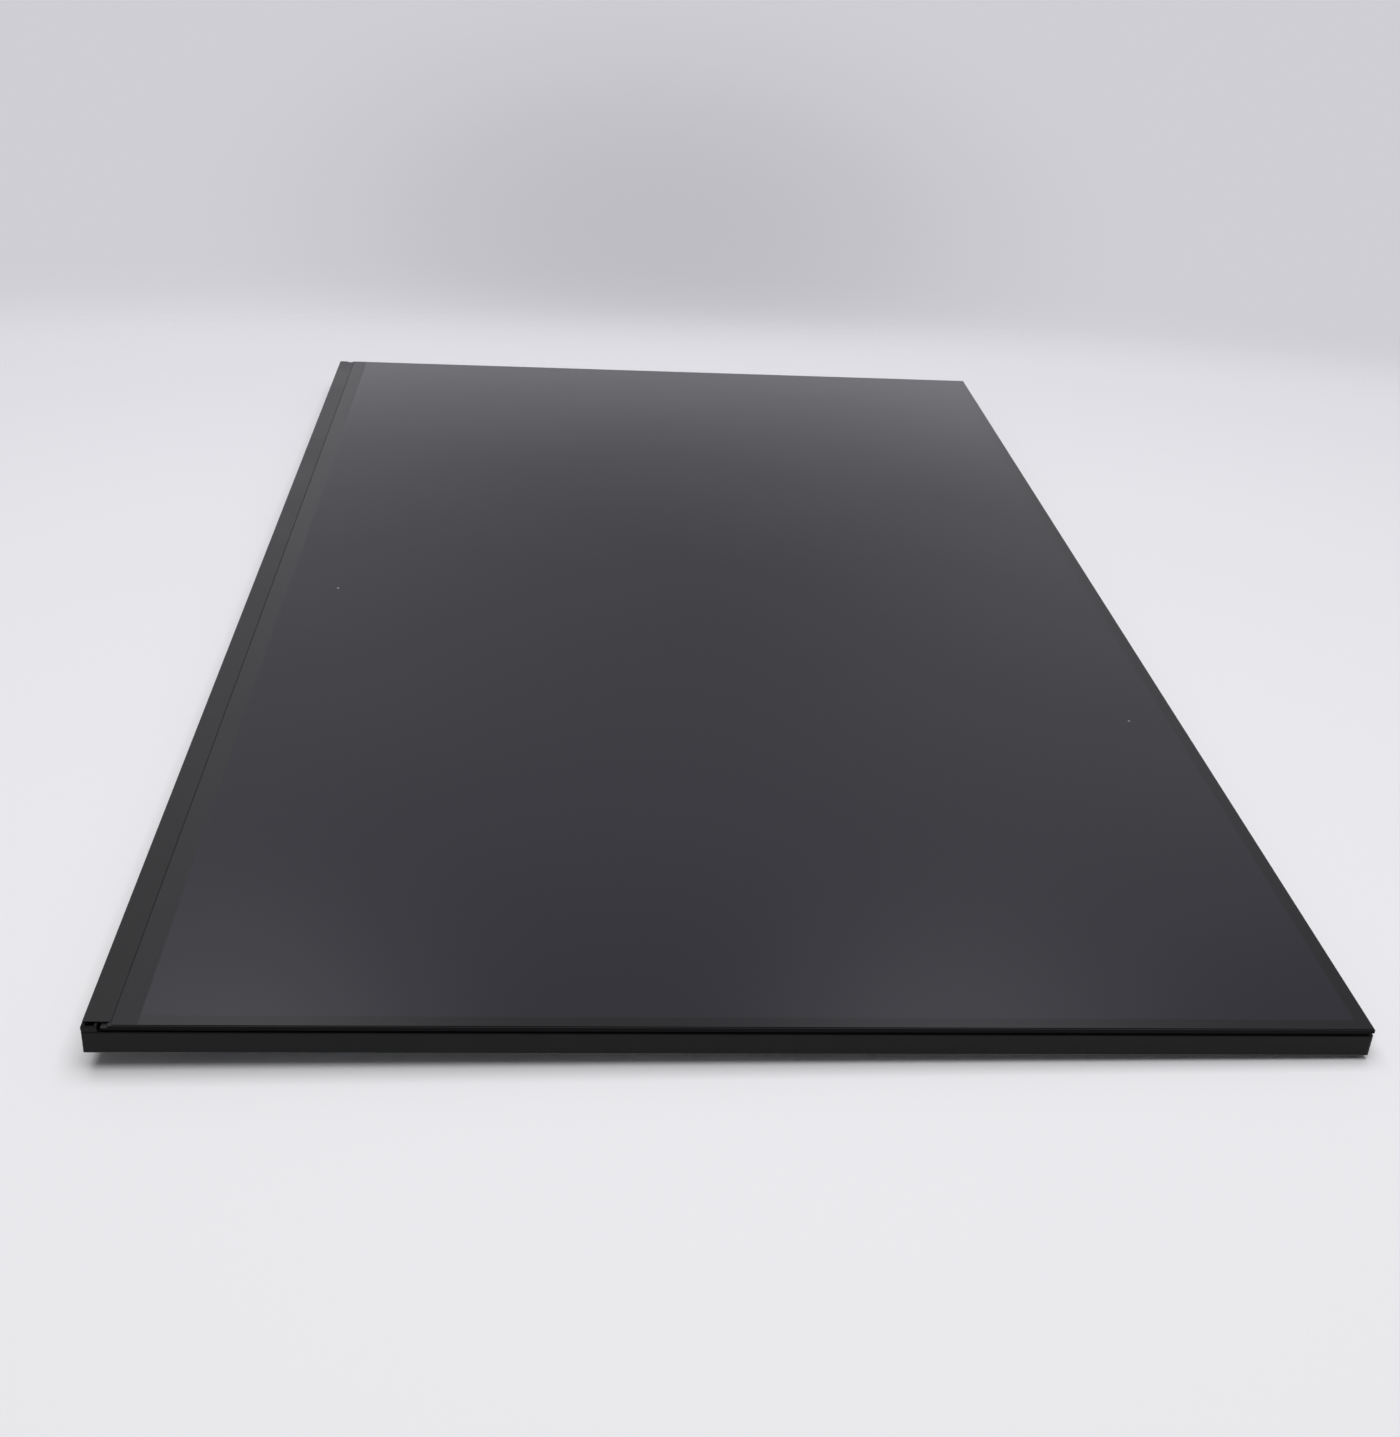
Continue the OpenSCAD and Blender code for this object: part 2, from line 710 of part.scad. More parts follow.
// Flexible tail: down from the bar, through the chassis and flat along its rear face
module backlight_tail() color("#c98a2e") {
    bend_z = step_rear - tail_t + tail_r;
    up_z = bar_z + bar_h - 0.6;
    translate([tail_x, -half_h, 0]) along_x(tail_w) {
        translate([led_u, bend_z]) square([tail_t, up_z - bend_z]);
        translate([led_u + tail_r, bend_z]) quarter_bend(tail_r - tail_t, tail_t);
        translate([led_u + tail_r, step_rear - tail_t]) square([tail_end_u - led_u - tail_r, tail_t]);
    }
}

module backlight_socket() color("#efece2") {
    length = tail_w - 1;
    depth = 4.6;
    height = 1.3;
    translate([tail_x, foot_y(tail_end_u - depth), step_rear - tail_t - height]) {
        difference() {
            translate([-length / 2, 0, 0]) cube([length, depth, height]);
            translate([-length / 2 + 0.5, 1.2, 0.3]) cube([length - 1, depth, height - 0.6]);
        }
        for (i = [-1.5:1.5]) translate([i * 1.5 - 0.2, 1, height / 2 - 0.15]) cube([0.4, 2.6, 0.3]);
    }
}

// Glass cell
module cell_foam_tape() color("#101112") {
    slab(ledge_top, foam_t) difference() {
        field(foam_u, foam_inset);
        field(foam_u + foam_w, foam_inset + foam_w);
    }
}

module rear_polariser() color("#2a2c30") {
    slab(pane_z - polariser_t, polariser_t) field(foam_u + foam_w + 0.3, foam_inset + foam_w + 0.3);
}

module array_glass() color("#3a3f42") slab(pane_z, pane_t) field(pane_u, pane_inset);

module colour_filter_glass() color("#303438") slab(front_z, pane_t) field(front_u, pane_inset);

module front_polariser() color("#242629") {
    slab(face_z, polariser_t) field(polariser_u, pane_inset + bare_rim);
}

module pad_cover_strip() color("#1f2021") {
    slab(face_z, polariser_t)
        translate([0, foot_y(strip_inset)]) plate(module_w - 2 * strip_end, strip_u - strip_inset);
}

// Driver films: from the contact ledge over the rib, down the channel and under the source boards
module film_section() {
    top_r = film_top_r + film_t;
    low_r = film_low_r + film_t;
    top_z = front_z + film_t - top_r;
    low_z = source_z - film_t + low_r;
    translate([film_u + top_r, front_z]) square([front_u - slip - film_u - top_r, film_t]);
    translate([film_u + top_r, top_z]) mirror([0, 1]) quarter_bend(film_top_r, film_t);
    translate([film_u, low_z]) square([film_t, top_z - low_z]);
    translate([film_u + low_r, low_z]) quarter_bend(film_low_r, film_t);
    translate([film_u + low_r, source_z - film_t]) square([film_end_u - film_u - low_r, film_t]);
}

module driver_films() color("#6a4a22") {
    for (x = film_x) translate([x, -half_h, 0]) along_x(film_w) film_section();
}

module driver_chips() color("#26282b") {
    for (x = film_x) translate([x - chip_l / 2, foot_y(film_u - chip_t), (frame_z + front_z) / 2])
        cube([chip_l, chip_t, chip_h]);
}

// Circuit boards
module source_boards() color("#1f5a3c") {
    for (s = [0, 1]) mirror([s, 0, 0]) difference() {
        slab(source_z, board_t)
            translate([source_end - source_l / 2, foot_y(source_u)]) round_plate(source_l, source_d, 1);
        for (x = side_hole_x) translate([x, foot_y(source_hole_u), source_z - cut])
            cylinder(h = board_t + 2 * cut, r = tab_hole_r);
    }
}

module control_board() color("#1f5a3c") {
    difference() {
        slab(board_z, board_t) translate([0, foot_y(control_u)]) round_plate(control_l, control_d, 1.5);
        for (p = control_holes) translate([p[0], foot_y(p[1]), board_z - cut])
            cylinder(h = board_t + 2 * cut, r = tab_hole_r);
    }
}

// A chip body w by d by h under a board's rear face, with a bevelled far side
module chip(x, u, w, d, h, z) {
    bevel = 0.15;
    translate([x, foot_y(u), z]) {
        translate([-w / 2, -d / 2, bevel - h]) cube([w, d, h - bevel]);
        translate([-w / 2 + bevel, -d / 2 + bevel, -h]) cube([w - 2 * bevel, d - 2 * bevel, bevel + slip]);
    }
}

// A small-outline package with legs along its two long sides
module leaded_chip(x, u, legs, span, z) {
    foot = 0.6;
    body_d = span - 3.5 * foot;
    chip(x, u, legs * leg_pitch, body_d, leaded_h, z - slip);
    for (i = [0:legs - 1]) translate([x + (i - (legs - 1) / 2) * leg_pitch - leg_w / 2, foot_y(u), z])
        for (side = [0, 1]) mirror([0, side, 0]) {
            translate([0, span / 2 - foot, -leg_w / 2]) cube([leg_w, foot, leg_w / 2]);
            translate([0, body_d / 2 - slip, -0.6]) cube([leg_w, span / 2 - foot - body_d / 2 + slip, leg_w / 2]);
            translate([0, span / 2 - foot - leg_w / 2, -0.6]) cube([leg_w, leg_w / 2, 0.6]);
        }
}

// A row of n small two-ended parts from x on, standing along X or across it
module part_row(x, u, n, pitch, across, z) {
    size = across ? [cap_d, cap_l] : [cap_l, cap_d];
    for (i = [0:n - 1]) translate([x + i * pitch, foot_y(u), z - cap_h])
        translate([-size[0] / 2, -size[1] / 2, 0]) cube([size[0], size[1], cap_h]);
}

module source_board_parts() color("#a8937a") {
    for (s = [0, 1]) mirror([s, 0, 0]) {
        for (x = side_film_x) {
            part_row(x - 5 * row_pitch, source_u + 4.4, 11, row_pitch, true, source_z);
            part_row(x - 4.5 * row_pitch, source_u + 6.6, 7, 1.5 * row_pitch, false, source_z);
        }
        for (k = [1, 2]) leaded_chip(side_film_x[k], source_hole_u + 0.5, 3 * k + 1, 4.8, source_z);
    }
}

module timing_controller_chip() color("#222426") {
    chip(timing_x, timing_u, timing_w, timing_w, leaded_h, board_z);
}

module touch_controller_chip() color("#2a2c2f") {
    chip(touch_chip_x, timing_u + 1, touch_w, touch_w, 0.9, board_z);
}

module power_inductors() color("#4a4d50") {
    height = 1.2;
    for (i = [0:2]) translate([left_x + 4 + 9 * i, foot_y(control_u + 20), board_z - height]) difference() {
        translate([-coil_w / 2, -coil_w / 2, 0]) cube([coil_w, coil_w, height]);
        for (a = [0:3]) rotate([0, 0, 45 + 90 * a])
            translate([0.6 * coil_w, -coil_w / 2, -cut]) cube([coil_w, coil_w, height + 2 * cut]);
        translate([0, 0, -cut]) cylinder(h = cut + 0.15, r = 0.36 * coil_w);
    }
}

module control_board_parts() color("#a8937a") {
    small_out = 6;
    for (row = [12.6, 14.4, 25.6]) part_row(left_x, control_u + row, 12, row_pitch, false, board_z);
    for (s = [-1, 1]) {
        part_row(timing_x - 2.5 * row_pitch, timing_u + s * (timing_w / 2 + 2.4), 6, row_pitch, true, board_z);
        part_row(touch_chip_x - 2 * row_pitch, timing_u + 1 + s * (touch_w / 2 + 2.1), 5, row_pitch, true, board_z);
    }
    leaded_chip(left_x + 40, control_u + 10, 4, small_out, board_z);
    leaded_chip(left_x + 40, control_u + 20, 7, small_out, board_z);
    leaded_chip(right_x, control_u + 14, 8, small_out, board_z);
    leaded_chip(right_x, control_u + 23, 4, small_out, board_z);
    part_row(right_x - 10, control_u + 29, 8, row_pitch, false, board_z);
}

// Sockets and the flat cables between the boards
module cable_socket(x, u, turn) {
    translate([x, foot_y(u) + socket_d / 2, 0]) rotate([0, 0, turn]) difference() {
        translate([-socket_l / 2, -socket_d / 2, board_z - socket_h]) cube([socket_l, socket_d, socket_h]);
        translate([-link_w / 2 - 0.3, socket_d / 2 - link_grip - slip, link_z - link_t])
            cube([link_w + 0.6, link_grip + slip + cut, 2 * link_t]);
        translate([1 - socket_l / 2, -socket_d / 2 - cut, board_z - socket_h - cut])
            cube([socket_l - 2, cut + 1, cut + 0.5]);
    }
}

module flat_cable_sockets() color("#e9e4d6") {
    for (s = [-1, 1]) {
        translate([0, 0, source_z - board_z]) cable_socket(s * link_x, source_socket_u, 0);
        cable_socket(s * link_x, control_socket_u, 180);
    }
}

// The cable steps from the source board's level to the control board's
module link_flat_cables() color("#e8e6de") {
    start = source_socket_u + socket_d - link_grip;
    end = control_socket_u + link_grip;
    low = link_z + source_z - board_z;
    a = source_u + source_d + 1.5;
    b = shield_u - 1;
    for (s = [-1, 1]) translate([s * link_x, -half_h, 0]) along_x(link_w) polygon([
        [start, low - link_t / 2], [a, low - link_t / 2], [b, link_z - link_t / 2],
        [end, link_z - link_t / 2], [end, link_z + link_t / 2], [b, link_z + link_t / 2],
        [a, low + link_t / 2], [start, low + link_t / 2]
    ]);
}

module display_socket_body() color("#e6e0cf") {
    translate([display_x, foot_y(edge_socket_u), board_z]) difference() {
        translate([-display_l / 2, 0, -1]) cube([display_l, display_d - 0.4, 1]);
        translate([-display_l / 2 + 1.4, 2.2, -0.8]) cube([display_l - 2.8, display_d, 0.5]);
    }
}

module display_socket_shell() color("#b9bcbe") {
    skin = 0.2;
    translate([display_x, foot_y(edge_socket_u), board_z]) {
        difference() {
            translate([-display_l / 2 - skin, 0.8, -1 - skin])
                cube([display_l + 2 * skin, display_d - 1.2, 1 + skin]);
            translate([-display_l / 2, 0.8 - cut, -1]) cube([display_l, display_d + cut, 1 + cut]);
            for (i = [-4:4]) translate([i * 2.6 - 0.5, 1.6, -1 - skin - cut]) cube([1, 1, skin + 2 * cut]);
        }
        for (s = [0, 1]) mirror([s, 0, 0])
            translate([display_l / 2 + skin, 1.2, -skin]) cube([1, 3, skin]);
    }
}

module touch_socket() color("#efece2") {
    height = 1.2;
    translate([touch_x, foot_y(edge_socket_u + 0.6), board_z - height]) {
        difference() {
            translate([-touch_l / 2, 0, 0]) cube([touch_l, display_d - 0.6, height]);
            translate([0.5 - touch_l / 2, 1.4, 0.3]) cube([touch_l - 1, display_d, height - 0.6]);
        }
        for (i = [-2.5:2.5]) translate([i * 1.25 - 0.15, 1.2, height / 2 - 0.15]) cube([0.3, 2.8, 0.3]);
    }
}

// Shield over the control board: a folded can with tabs, slots and socket notches
module shield_walls() {
    slab(0, shield_t) translate([0, foot_y(shield_u)])
        round_plate(2 * shield_half, shield_end - shield_u, 1.2);
    slab(shield_t / 2, wall_end - shield_t / 2) difference() {
        translate([0, foot_y(shield_u)]) round_plate(2 * shield_half, shield_end - shield_u, 1.2);
        translate([0, foot_y(shield_u + shield_t)])
            round_plate(2 * (shield_half - shield_t), shield_end - shield_u - 2 * shield_t, 0.8);
    }
}

module shield_tab() {
    reach = tab_reach + tab_w / 2;
    translate([0, 0, board_top - shield_t]) linear_extrude(shield_t) {
        translate([-tab_reach - shield_t / 2, -tab_w / 2]) square([tab_reach + shield_t / 2, tab_w]);
        circle(tab_w / 2);
    }
}

module control_shield() color("#c9cccd") {
    difference() {
        union() {
            difference() {
                shield_walls();
                for (p = side_tabs) translate([p[0], foot_y(p[1]), board_top])
                    translate([-tab_reach - 1, -tab_w / 2 - 0.5, 0]) cube([2 * tab_reach + 2, tab_w + 1, rear_z]);
                translate([-tab_w / 2 - 0.5, foot_y(shield_end - 1), board_top])
                    cube([tab_w + 1, 2, rear_z]);
                for (s = [-1, 1])
                    translate([s * link_x - link_w / 2 - 1.5, foot_y(shield_u - cut), shield_t + 0.3])
                        cube([link_w + 3, shield_t + 2 * cut, rear_z]);
                translate([display_x - display_l / 2 - 2, foot_y(edge_socket_u - 1), -cut])
                    cube([display_l + 4, 20, rear_z]);
                translate([touch_x - touch_l / 2 - 1.5, foot_y(edge_socket_u), -cut])
                    cube([touch_l + 3, 20, rear_z]);
            }
            for (p = side_tabs) translate([p[0], foot_y(p[1]), 0]) rotate([0, 0, p[0] > 0 ? 0 : 180])
                shield_tab();
            translate([top_tab[0], foot_y(top_tab[1]), 0]) rotate([0, 0, 90]) shield_tab();
        }
        for (p = shield_holes) translate([p[0], foot_y(p[1]), -cut]) cylinder(h = rear_z, r = tab_hole_r);
        for (i = [-5:5], k = [0, 1])
            translate([i * 12, foot_y(control_u + 9 + 11 * k), -cut]) linear_extrude(shield_t + 2 * cut)
                slot(1.8, 8);
    }
}

module insulation_sheet() color("#16171a") {
    sheet_t = 0.2;
    difference() {
        slab(rear_z - sheet_t, sheet_t)
            translate([0, foot_y(control_u - 1)]) round_plate(control_l + 2, control_d + 2, 2);
        for (p = control_holes) translate([p[0], foot_y(p[1]), rear_z - 1])
            cylinder(h = 2, r = boss_r + boss_flare + 0.3);
    }
}

// Pan-head screw, its head below z and its shank reaching up from it
module screw(x, u, z, reach) {
    translate([x, foot_y(u), z]) difference() {
        rotate_extrude() {
            square([screw_r, reach]);
            translate([0, -head_h]) square([head_r - head_round, head_h]);
            translate([0, head_round - head_h]) square([head_r, head_h - head_round]);
            translate([head_r - head_round, head_round - head_h]) circle(head_round);
        }
        for (a = [0, 90]) rotate([0, 0, a]) translate([-1.3, -0.3, -head_h - cut]) cube([2.6, 0.6, cut + 0.5]);
    }
}

module board_screws() color("#b0b2b4") {
    for (x = source_hole_x) screw(x, source_hole_u, source_z, board_t + steel_t + 0.4);
    for (p = control_holes) screw(p[0], p[1], board_z, board_t + steel_t + 0.4);
}

module shield_screws() color("#b0b2b4") {
    for (p = shield_holes) screw(p[0], p[1], board_top - shield_t, shield_t + steel_t + 0.4);
}

// Conductive tapes from the source boards' rear faces onto the chassis
module grounding_tapes() color("#c0b9a8") {
    t = 0.08;
    edge = source_u + source_d;
    end = step_u - 0.4;
    for (x = source_hole_x) translate([x + sign(x) * 14, -half_h, 0]) along_x(10) polygon([
        [edge - 3.5, source_z - t], [edge + t, source_z - t], [edge + 0.6 + t, step_rear - t],
        [end, step_rear - t], [end, step_rear], [edge + 0.6, step_rear],
        [edge, source_z], [edge - 3.5, source_z]
    ]);
}

bottom_chassis();
mould_frame();
reflector_sheet();
light_guide_plate();
guide_plate_cushions();
lower_diffuser_sheet();
lower_prism_sheet();
upper_prism_sheet();
upper_diffuser_sheet();
led_heat_spreader();
led_thermal_tape();
led_bar_board();
led_packages();
cell_foam_tape();
rear_polariser();
array_glass();
colour_filter_glass();
front_polariser();
pad_cover_strip();
driver_films();
driver_chips();
source_boards();
source_board_parts();
control_board();
timing_controller_chip();
touch_controller_chip();
power_inductors();
control_board_parts();
link_flat_cables();
flat_cable_sockets();
display_socket_body();
display_socket_shell();
touch_socket();
backlight_tail();
backlight_socket();
control_shield();
insulation_sheet();
board_screws();
shield_screws();
grounding_tapes();
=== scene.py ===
import math

import bmesh
import bpy
import numpy as np
from mathutils import Matrix, Vector


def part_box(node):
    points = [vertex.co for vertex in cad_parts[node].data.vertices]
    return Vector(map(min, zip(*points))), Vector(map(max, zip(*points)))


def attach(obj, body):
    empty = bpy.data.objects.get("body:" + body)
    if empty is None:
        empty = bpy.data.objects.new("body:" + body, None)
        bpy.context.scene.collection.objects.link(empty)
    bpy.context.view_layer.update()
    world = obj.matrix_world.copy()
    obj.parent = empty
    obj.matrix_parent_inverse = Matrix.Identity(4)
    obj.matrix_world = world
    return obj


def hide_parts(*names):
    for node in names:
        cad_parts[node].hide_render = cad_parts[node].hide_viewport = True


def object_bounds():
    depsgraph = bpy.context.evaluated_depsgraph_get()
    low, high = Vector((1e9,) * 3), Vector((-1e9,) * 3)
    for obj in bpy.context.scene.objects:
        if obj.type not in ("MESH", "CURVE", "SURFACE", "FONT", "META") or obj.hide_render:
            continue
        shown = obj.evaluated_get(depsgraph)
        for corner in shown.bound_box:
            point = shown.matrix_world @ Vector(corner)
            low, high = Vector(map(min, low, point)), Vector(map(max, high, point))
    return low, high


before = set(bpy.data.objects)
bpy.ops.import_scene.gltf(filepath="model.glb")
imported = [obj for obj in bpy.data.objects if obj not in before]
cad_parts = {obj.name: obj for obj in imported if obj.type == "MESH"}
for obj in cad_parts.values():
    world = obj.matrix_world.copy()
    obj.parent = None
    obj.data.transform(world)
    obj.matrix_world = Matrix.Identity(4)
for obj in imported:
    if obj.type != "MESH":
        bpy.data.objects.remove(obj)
cad_box = [list(corner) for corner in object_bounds()]

# The module lies on its back: X along the long side, Y up the picture, Z out of the screen, in metres
MM = 0.001
screen_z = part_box("front_polariser")[1].z
foot_y = cad_box[0][1]

# Lit picture inside the black borders, in millimetres
PICTURE_W = 527.04
PICTURE_H = 296.46
FOOT_BORDER = 13.0

# Half the width over which the border turns into the picture, in millimetres
PICTURE_EDGE = 0.15

# Places of the specks on the screen and their radii, in millimetres
SPECKS = [(11.1, -126.2, 0.5), (104.3, 139.5, 0.4)]


def linear(code):
    """An sRGB hex colour as linear red, green, blue and alpha. A channel c from 0 to 1 becomes c / 12.92
    up to 0.04045, and ((c + 0.055) / 1.055) to the power 2.4 above."""
    channels = [int(code[i:i + 2], 16) / 255 for i in (1, 3, 5)]
    return [c / 12.92 if c <= 0.04045 else ((c + 0.055) / 1.055) ** 2.4 for c in channels] + [1.0]


def add(tree, kind, inputs=None, **settings):
    """Adds a shader node. The settings are its properties, and the inputs are values or sockets to link."""
    node = tree.nodes.new("ShaderNode" + kind)
    for key, value in settings.items():
        setattr(node, key, value)
    for key, value in (inputs or {}).items():
        if isinstance(value, bpy.types.NodeSocket):
            tree.links.new(value, node.inputs[key])
        else:
            node.inputs[key].default_value = value
    return node


def start(name):
    """A new empty material, its tree and the place on the module in metres."""
    material = bpy.data.materials.new(name)
    material.use_nodes = True
    material.node_tree.nodes.clear()
    place = add(material.node_tree, "TexCoord").outputs["Object"]
    return material, material.node_tree, place


def shade(tree, inputs):
    """Ends a material with a Principled shader that takes these inputs."""
    shader = add(tree, "BsdfPrincipled", inputs)
    add(tree, "OutputMaterial", {"Surface": shader.outputs[0]})


def clouds(tree, place, size, low, high, detail=3.0, stretch=(1, 1, 1)):
    """A cloudy value from low to high, in patches of the given size in millimetres, drawn out by stretch."""
    spot = add(tree, "Mapping", {"Vector": place, "Scale": [1 / s for s in stretch]}).outputs[0]
    noise = add(tree, "TexNoise", {"Vector": spot, "Scale": 1 / (size * MM), "Detail": detail}).outputs[0]
    return add(tree, "MapRange", {
        "Value": noise, "From Min": 0.3, "From Max": 0.7, "To Min": low, "To Max": high
    }).outputs[0]


def stripes(tree, place, pitch, axis, share):
    """1 on stripes across an axis and 0 between them, with the pitch in millimetres and the stripe's share
    of it, from a sine wave over the place."""
    wave = add(tree, "TexWave", {
        "Vector": place, "Scale": 2 * math.pi / (20 * pitch * MM), "Distortion": 0.0
    }, bands_direction=axis).outputs["Fac"]
    edge = (1 + math.cos(math.pi * share)) / 2
    return add(tree, "MapRange", {"Value": wave, "From Min": edge - 0.05, "From Max": edge + 0.05}).outputs[0]


def two_tone(tree, factor, first, second):
    """Two sRGB hex colours, mixed by a factor that varies over the surface."""
    return add(tree, "Mix", {0: factor, 6: linear(first), 7: linear(second)}, data_type="RGBA").outputs[2]


def grained(name, first, second, patch, roughness, grain, depth, extra=None):
    """A body of two close tones in patches of the given size, with a grain of the given size and depth in
    its surface, all in millimetres. The extra inputs go to the shader."""
    material, tree, place = start(name)
    height = clouds(tree, place, grain, 0.0, 1.0)
    inputs = {
        "Base Color": two_tone(tree, clouds(tree, place, patch, 0.0, 1.0), first, second),
        "Roughness": clouds(tree, place, 3 * patch, roughness - 0.04, roughness + 0.04),
        "Normal": add(tree, "Bump", {"Height": height, "Distance": depth * MM, "Strength": 0.6}).outputs[0]
    }
    inputs.update(extra or {})
    shade(tree, inputs)
    return material


# Cell: its two polarisers, its panes, the strip over the connections and the foam under the glass
def inside(tree, place, low, high, soft):
    """1 inside a rectangle in X and Y and 0 outside it, with a soft edge: the product of four ramps."""
    split = add(tree, "SeparateXYZ", {"Vector": place})
    result = None
    for axis in (0, 1):
        for edge, sign in ((low[axis], 1), (high[axis], -1)):
            ramp = add(tree, "MapRange", {
                "Value": split.outputs[axis], "From Min": edge - sign * soft, "From Max": edge + sign * soft
            }).outputs[0]
            result = ramp if result is None else add(
                tree, "Math", {0: result, 1: ramp}, operation="MULTIPLY").outputs[0]
    return result


def anti_glare_film():
    """Acetate polariser with an anti-glare coating: near black, with a soft haze in its reflections. The
    switched-off picture is a trace lighter than the black border around it, and the border along the foot is
    duller. Two specks of lint lie on it."""
    material, tree, place = start("anti_glare_film")
    low = (-PICTURE_W / 2 * MM, foot_y + FOOT_BORDER * MM)
    high = (PICTURE_W / 2 * MM, foot_y + (FOOT_BORDER + PICTURE_H) * MM)
    picture = inside(tree, place, low, high, PICTURE_EDGE * MM)
    colour = two_tone(tree, picture, "#070708", "#15161f")
    for x, y, r in SPECKS:
        away = add(tree, "VectorMath", {0: place, 1: (x * MM, y * MM, screen_z)}, operation="DISTANCE")
        spot = add(tree, "MapRange", {
            "Value": away.outputs["Value"], "From Min": 0.7 * r * MM, "From Max": r * MM,
            "To Min": 1.0, "To Max": 0.0
        }).outputs[0]
        colour = add(tree, "Mix", {0: spot, 6: colour, 7: linear("#9a9c9e")}, data_type="RGBA").outputs[2]
    sparkle = clouds(tree, place, 0.7, 0.0, 1.0, detail=1.0)
    across = add(tree, "SeparateXYZ", {"Vector": place}).outputs["Y"]
    dull = add(tree, "MapRange", {
        "Value": across, "From Min": low[1] - PICTURE_EDGE * MM, "From Max": low[1] + PICTURE_EDGE * MM,
        "To Min": 0.16, "To Max": 0.0
    }).outputs[0]
    haze = add(tree, "Math", {0: clouds(tree, place, 90, 0.15, 0.17), 1: dull}, operation="ADD").outputs[0]
    shade(tree, {
        "Base Color": colour, "Roughness": haze, "IOR": 1.5,
        "Normal": add(tree, "Bump", {"Height": sparkle, "Distance": 0.002 * MM, "Strength": 1.0}).outputs[0]
    })
    return material


def display_glass(name):
    """Alkali-free display glass: its clear faces show the grey of the cell, and its ground edges carry a
    painted shade, near black for the dark gap where the glass meets the frame, so the screen ends in a dead
    black line."""
    material, tree, place = start(name)
    up = add(tree, "SeparateXYZ", {"Vector": add(tree, "TexCoord").outputs["Normal"]}).outputs["Z"]
    flat = add(tree, "Math", {0: up}, operation="ABSOLUTE").outputs[0]
    face = add(tree, "MapRange", {"Value": flat, "From Min": 0.4, "From Max": 0.6}).outputs[0]
    grind = clouds(tree, place, 0.6, 0.0, 1.0)
    # Painted shade: faces that stand on edge are painted near black, and the flat faces are painted grey.
    shade(tree, {
        "Base Color": two_tone(tree, face, "#050505", "#2c2d2f"),
        "Roughness": add(tree, "MapRange", {"Value": face, "To Min": 0.6, "To Max": 0.2}).outputs[0],
        "Specular IOR Level": 0.1,
        "Normal": add(tree, "Bump", {"Height": grind, "Distance": 0.004 * MM, "Strength": 0.3}).outputs[0]
    })
    return material


def matte_strip():
    """Black polyester film with a matte back: an even charcoal that hardly mirrors."""
    return grained("matte_strip", "#121211", "#151514", 12, 0.36, 0.5, 0.004, {
        "IOR": 1.5, "Specular IOR Level": 0.36
    })


def black_foam():
    """Closed-cell polyurethane foam, die cut: dead black with fine open cells on its cut edge."""
    return grained("black_foam", "#060606", "#0b0b0b", 0.6, 0.95, 0.25, 0.05)


def rear_film():
    """Polariser with a smooth back."""
    return grained("rear_polariser_film", "#101114", "#131418", 25, 0.2, 0.8, 0.002)


# Light sheets
def reflector_film():
    """Voided polyester film: bright white with a satin face."""
    return grained("reflector_film", "#f1f1ef", "#ececea", 14, 0.4, 0.4, 0.004)


def clear_acrylic():
    """Cast acrylic, laser cut and polished: water clear, greenish through its edge."""
    return grained("clear_acrylic", "#dfeceb", "#d6e6e5", 40, 0.06, 2.0, 0.001, {
        "IOR": 1.49, "Transmission Weight": 0.85
    })


def white_silicone():
    """Cast silicone rubber: a soft milky matte."""
    return grained("white_silicone", "#d9d9d4", "#cfcfc9", 5, 0.7, 0.5, 0.01, {"Subsurface Weight": 0.1})


def diffuser_film():
    """Polyester film with beads in its coating: frosted white."""
    return grained("diffuser_film", "#eeefed", "#e8e9e7", 20, 0.65, 0.2, 0.006)


def prism_film(name, axis):
    """Polyester film with a face of fine prisms, drawn at 0.6 mm so that they show."""
    material, tree, place = start(name)
    rib = add(tree, "TexWave", {
        "Vector": place, "Scale": 2 * math.pi / (20 * 0.6 * MM)
    }, bands_direction=axis, wave_profile="TRI").outputs["Fac"]
    shade(tree, {
        "Base Color": two_tone(tree, clouds(tree, place, 30, 0.0, 1.0), "#dde4e6", "#e6ebec"),
        "Roughness": 0.22,
        "Normal": add(tree, "Bump", {"Height": rib, "Distance": 0.1 * MM, "Strength": 0.5}).outputs[0]
    })
    return material


# Frame and metal
def black_polycarbonate():
    """Glass-filled polycarbonate, injection moulded: black, with a fine spark-eroded grain that breaks up
    its highlights."""
    return grained("black_polycarbonate", "#0b0b0a", "#0e0e0c", 7, 0.42, 0.35, 0.012, {
        "Specular IOR Level": 0.17
    })


def galvanised_steel():
    """Electro-galvanised sheet, rolled and pressed: an even satin grey without spangle, with fine rolling
    lines along its length and faint clouds where the oil was wiped off."""
    material, tree, place = start("galvanised_steel")
    lines = clouds(tree, place, 0.6, 0.0, 1.0, stretch=(60, 1, 1))
    wiped = clouds(tree, place, 55, 0.0, 1.0, detail=5.0, stretch=(1.6, 1, 1))
    fine = add(tree, "Math", {0: lines, 1: 0.04}, operation="MULTIPLY").outputs[0]
    rough = add(tree, "MapRange", {"Value": wiped, "To Min": 0.27, "To Max": 0.36}).outputs[0]
    shade(tree, {
        "Base Color": two_tone(tree, wiped, "#a7abac", "#b1b5b6"),
        "Metallic": 1.0,
        "Roughness": add(tree, "Math", {0: rough, 1: fine}, operation="ADD").outputs[0],
        "Normal": add(tree, "Bump", {"Height": lines, "Distance": 0.004 * MM, "Strength": 0.5}).outputs[0]
    })
    return material


